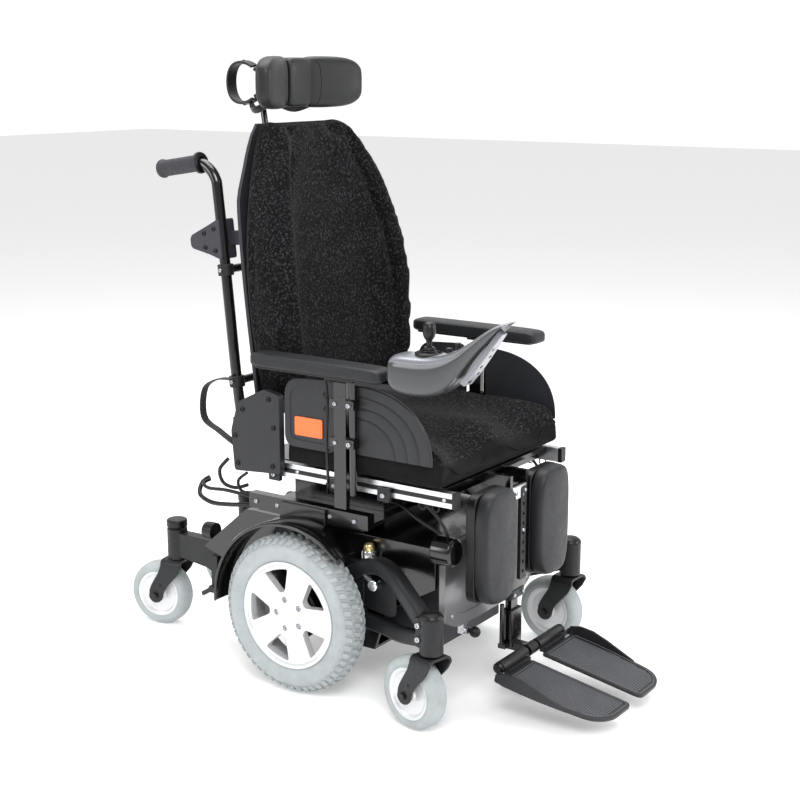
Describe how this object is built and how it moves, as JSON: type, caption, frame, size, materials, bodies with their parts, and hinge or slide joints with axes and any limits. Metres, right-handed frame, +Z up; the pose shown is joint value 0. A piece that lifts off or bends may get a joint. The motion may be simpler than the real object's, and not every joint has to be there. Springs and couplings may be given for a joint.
{
  "type": "power wheelchair",
  "caption": "Centre-wheel-drive power wheelchair with contoured seat and back, three-part head support, armrests, hand control, swivel casters and a central leg support.",
  "frame": {"origin": "on the floor, under the middle of the chair", "axes": "+Z up; the front of the chair faces -Y; +X is the user's left"},
  "size_m": [0.6511, 1.2344, 1.32],
  "materials": {
    "frame_black": "gloss black powder coat",
    "cast_grey": "satin charcoal powder coat",
    "key_black": "matt black",
    "cover_grey": "metallic grey paint",
    "fabric": "looped black upholstery cloth",
    "cable_black": "black cable jacket",
    "rail_aluminium": "bright anodised",
    "panel_grey": "fine grain dark grey",
    "shell_grey": "fine grain mid grey",
    "caster_tyre": "light grey non-marking",
    "tyre_grey": "light grey non-marking",
    "rim_silver": "silver white paint",
    "grip_grey": "dark grey grip rubber",
    "headrest_skin": "dark grey coated cloth",
    "pad_grey": "skinned foam",
    "pod_silver": "metallic grey"
  },
  "bodies": {
    "base": {"chassis_frame": "frame_black", "battery_box": "key_black", "battery_cover": "cover_grey", "seat_frame": "frame_black", "seat_cushion": "fabric", "control_cable": "cable_black", "gearmotor_left": "frame_black", "fender_left": "frame_black", "rear_arm_left": "cast_grey", "seat_rail_left": "rail_aluminium", "front_panel_left": "panel_grey", "rear_panel_left": "panel_grey", "rear_cover_left": "shell_grey", "armrest_post_left": "cast_grey", "gearmotor_right": "frame_black", "fender_right": "frame_black", "rear_arm_right": "cast_grey", "seat_rail_right": "rail_aluminium", "front_panel_right": "panel_grey", "rear_panel_right": "panel_grey", "rear_cover_right": "shell_grey", "armrest_post_right": "cast_grey"},
    "front_arm_left": {"front_arm_left": "cast_grey"},
    "caster_fork_front_left": {"caster_fork_front_left": "cast_grey"},
    "caster_wheel_front_left": {"caster_wheel_front_left": "caster_tyre"},
    "caster_fork_rear_left": {"caster_fork_rear_left": "cast_grey"},
    "caster_wheel_rear_left": {"caster_wheel_rear_left": "caster_tyre"},
    "drive_wheel_left": {"drive_tyre_left": "tyre_grey", "drive_rim_left": "rim_silver"},
    "freewheel_lever_left": {"freewheel_lever_left": "cast_grey"},
    "front_arm_right": {"front_arm_right": "cast_grey"},
    "caster_fork_front_right": {"caster_fork_front_right": "cast_grey"},
    "caster_wheel_front_right": {"caster_wheel_front_right": "caster_tyre"},
    "caster_fork_rear_right": {"caster_fork_rear_right": "cast_grey"},
    "caster_wheel_rear_right": {"caster_wheel_rear_right": "caster_tyre"},
    "drive_wheel_right": {"drive_tyre_right": "tyre_grey", "drive_rim_right": "rim_silver"},
    "freewheel_lever_right": {"freewheel_lever_right": "cast_grey"},
    "backrest": {"back_frame": "frame_black", "push_grip_left": "grip_grey", "push_grip_right": "grip_grey", "back_shell": "shell_grey", "back_cushion": "fabric"},
    "head_mast": {"headrest_stem": "frame_black"},
    "head_pad": {"headrest_centre": "headrest_skin"},
    "head_wing_left": {"headrest_wing_left": "headrest_skin"},
    "head_wing_right": {"headrest_wing_right": "headrest_skin"},
    "armrest_left": {"arm_pad_left": "pad_grey"},
    "armrest_right": {"arm_pad_right": "pad_grey", "joystick_housing": "pod_silver"},
    "stick_collar": {"joystick_collar": "key_black"},
    "stick": {"joystick_stick": "key_black"},
    "key_power": {"key_power": "key_black"},
    "key_speed": {"key_speed": "key_black"},
    "legrest": {"legrest_column": "frame_black"},
    "foot_tube": {"foot_tube": "frame_black"},
    "footplate_left": {"footplate_left": "panel_grey"},
    "calf_pad_left": {"calf_pad_left": "pad_grey"},
    "footplate_right": {"footplate_right": "panel_grey"},
    "calf_pad_right": {"calf_pad_right": "pad_grey"}
  },
  "joints": [
    {"name": "suspension_left", "type": "hinge", "parent": "base", "child": "front_arm_left", "pos_m": [0.2, -0.075, 0.22], "axis": [1, 0, 0], "range_deg": [-3, 3], "stiffness_Nm_per_rad": 2500},
    {"name": "swivel_front_left", "type": "hinge", "parent": "front_arm_left", "child": "caster_fork_front_left", "pos_m": [0.287, -0.318, 0.168], "axis": [0, 0, 1], "continuous": true},
    {"name": "spin_front_left", "type": "hinge", "parent": "caster_fork_front_left", "child": "caster_wheel_front_left", "pos_m": [0.28957, -0.27207, 0.0762], "axis": [0.9984, -0.0558, 0], "continuous": true},
    {"name": "swivel_rear_left", "type": "hinge", "parent": "base", "child": "caster_fork_rear_left", "pos_m": [0.128, 0.502, 0.168], "axis": [0, 0, 1], "continuous": true},
    {"name": "spin_rear_left", "type": "hinge", "parent": "caster_fork_rear_left", "child": "caster_wheel_rear_left", "pos_m": [0.11954, 0.54722, 0.0762], "axis": [0.9829, 0.184, 0], "continuous": true},
    {"name": "drive_left", "type": "hinge", "parent": "base", "child": "drive_wheel_left", "pos_m": [0.266, 0.04, 0.1737], "axis": [1, 0, 0], "continuous": true},
    {"name": "freewheel_left", "type": "hinge", "parent": "base", "child": "freewheel_lever_left", "pos_m": [0.184, 0.346, 0.138], "axis": [1, 0, 0], "range_deg": [0, 30]},
    {"name": "suspension_right", "type": "hinge", "parent": "base", "child": "front_arm_right", "pos_m": [-0.2, -0.075, 0.22], "axis": [1, 0, 0], "range_deg": [-3, 3], "stiffness_Nm_per_rad": 2500},
    {"name": "swivel_front_right", "type": "hinge", "parent": "front_arm_right", "child": "caster_fork_front_right", "pos_m": [-0.287, -0.318, 0.168], "axis": [0, 0, 1], "continuous": true},
    {"name": "spin_front_right", "type": "hinge", "parent": "caster_fork_front_right", "child": "caster_wheel_front_right", "pos_m": [-0.2772, -0.27306, 0.0762], "axis": [0.977, -0.213, 0], "continuous": true},
    {"name": "swivel_rear_right", "type": "hinge", "parent": "base", "child": "caster_fork_rear_right", "pos_m": [-0.128, 0.502, 0.168], "axis": [0, 0, 1], "continuous": true},
    {"name": "spin_rear_right", "type": "hinge", "parent": "caster_fork_rear_right", "child": "caster_wheel_rear_right", "pos_m": [-0.13646, 0.54722, 0.0762], "axis": [0.9829, 0.184, 0], "continuous": true},
    {"name": "drive_right", "type": "hinge", "parent": "base", "child": "drive_wheel_right", "pos_m": [-0.266, 0.04, 0.1737], "axis": [1, 0, 0], "continuous": true},
    {"name": "freewheel_right", "type": "hinge", "parent": "base", "child": "freewheel_lever_right", "pos_m": [-0.184, 0.346, 0.138], "axis": [1, 0, 0], "range_deg": [0, 30]},
    {"name": "recline", "type": "hinge", "parent": "base", "child": "backrest", "pos_m": [0, 0.21, 0.49], "axis": [-1, 0, 0], "range_deg": [0, 18]},
    {"name": "headrest_height", "type": "slide", "parent": "backrest", "child": "head_mast", "axis": [0, 0.0993, 0.9951], "range_m": [0, 0.06]},
    {"name": "headrest_tilt", "type": "hinge", "parent": "head_mast", "child": "head_pad", "pos_m": [0, 0.2915, 1.2658], "axis": [1, 0, 0], "range_deg": [-15, 8]},
    {"name": "wing_left", "type": "hinge", "parent": "head_pad", "child": "head_wing_left", "pos_m": [0.06, 0.23, 1.265], "axis": [0, 0, 1], "range_deg": [-12, 12]},
    {"name": "wing_right", "type": "hinge", "parent": "head_pad", "child": "head_wing_right", "pos_m": [-0.06, 0.23, 1.265], "axis": [0, 0, 1], "range_deg": [-12, 12]},
    {"name": "armrest_height_left", "type": "slide", "parent": "base", "child": "armrest_left", "axis": [0, 0, 1], "range_m": [0, 0.06]},
    {"name": "armrest_height_right", "type": "slide", "parent": "base", "child": "armrest_right", "axis": [0, 0, 1], "range_m": [0, 0.06]},
    {"name": "stick_forward", "type": "hinge", "parent": "armrest_right", "child": "stick_collar", "pos_m": [-0.262, -0.293, 0.765], "axis": [1, 0, 0], "range_deg": [-12, 12], "stiffness_Nm_per_rad": 0.6},
    {"name": "stick_sideways", "type": "hinge", "parent": "stick_collar", "child": "stick", "pos_m": [-0.262, -0.293, 0.765], "axis": [0, 1, 0], "range_deg": [-12, 12], "stiffness_Nm_per_rad": 0.6},
    {"name": "press_power", "type": "slide", "parent": "armrest_right", "child": "key_power", "axis": [0, 0, -1], "range_m": [0, 0.0015], "stiffness_N_per_m": 600},
    {"name": "press_speed", "type": "slide", "parent": "armrest_right", "child": "key_speed", "axis": [0, 0, -1], "range_m": [0, 0.0015], "stiffness_N_per_m": 600},
    {"name": "legrest_elevation", "type": "hinge", "parent": "base", "child": "legrest", "pos_m": [0, -0.332, 0.44], "axis": [-1, 0, 0], "range_deg": [0, 45]},
    {"name": "footrest_length", "type": "slide", "parent": "legrest", "child": "foot_tube", "axis": [0, 0, 1], "range_m": [-0.02, 0.05]},
    {"name": "footplate_flip_left", "type": "hinge", "parent": "foot_tube", "child": "footplate_left", "pos_m": [0.075, -0.379, 0.099], "axis": [-1, 0, 0], "range_deg": [0, 70]},
    {"name": "calf_pad_tilt_left", "type": "hinge", "parent": "legrest", "child": "calf_pad_left", "pos_m": [0.048, -0.338, 0.35], "axis": [1, 0, 0], "range_deg": [-8, 8]},
    {"name": "footplate_flip_right", "type": "hinge", "parent": "foot_tube", "child": "footplate_right", "pos_m": [-0.075, -0.379, 0.099], "axis": [-1, 0, 0], "range_deg": [0, 70]},
    {"name": "calf_pad_tilt_right", "type": "hinge", "parent": "legrest", "child": "calf_pad_right", "pos_m": [-0.048, -0.338, 0.35], "axis": [1, 0, 0], "range_deg": [-8, 8]}
  ]
}
